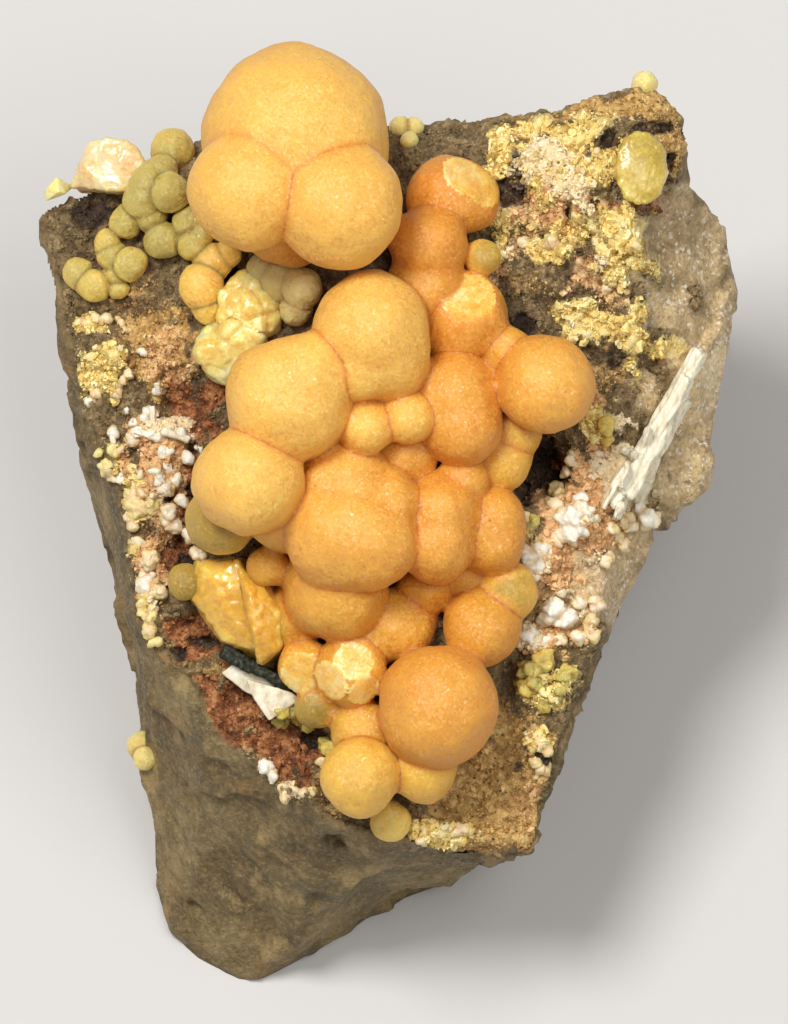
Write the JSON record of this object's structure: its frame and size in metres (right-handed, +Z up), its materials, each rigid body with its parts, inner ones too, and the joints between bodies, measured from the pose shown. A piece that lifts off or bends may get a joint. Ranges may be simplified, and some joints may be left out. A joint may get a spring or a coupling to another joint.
{
  "type": "mimetite specimen",
  "caption": "Loose mineral specimen: orange balls of mimetite grown together on a wedge of grey quartz rock, lying on its flat break as a display or set-dressing piece.",
  "frame": {"origin": "under the middle of the specimen's box, on the ground that its flat break rests on", "axes": "+Z up off the resting break, +Y from the narrow foot of the wedge to the back edge with the largest ball, +X to the right of the mineral face as the picture shows it"},
  "size_m": [0.037, 0.0416, 0.0359],
  "materials": {
    "grey_quartz_rock": "rough broken quartz rock, grey and brown, with rust, white and yellow crusts",
    "orange_mimetite": "satin, finely drusy, slightly translucent",
    "green_mimetite": "satin, slightly translucent",
    "grey_mimetite": "smooth, translucent",
    "yellow_mimetite": "satin",
    "cream_mimetite": "broken, waxy",
    "white_crystals": "satin, white",
    "dark_crust": "rough, black green"
  },
  "bodies": {
    "root": {"quartz_matrix": "grey_quartz_rock", "mimetite_cluster": "orange_mimetite", "green_ball_chain": "green_mimetite", "grey_balls": "grey_mimetite", "back_beads": "yellow_mimetite", "rim_ball": "cream_mimetite", "foot_ball": "green_mimetite", "edge_nub": "yellow_mimetite", "half_ball": "cream_mimetite", "split_ball": "green_mimetite", "cream_lump": "cream_mimetite", "yellow_crystal": "yellow_mimetite", "white_plate": "white_crystals", "dark_crust": "dark_crust", "white_blades": "white_crystals"}
  },
  "joints": []
}
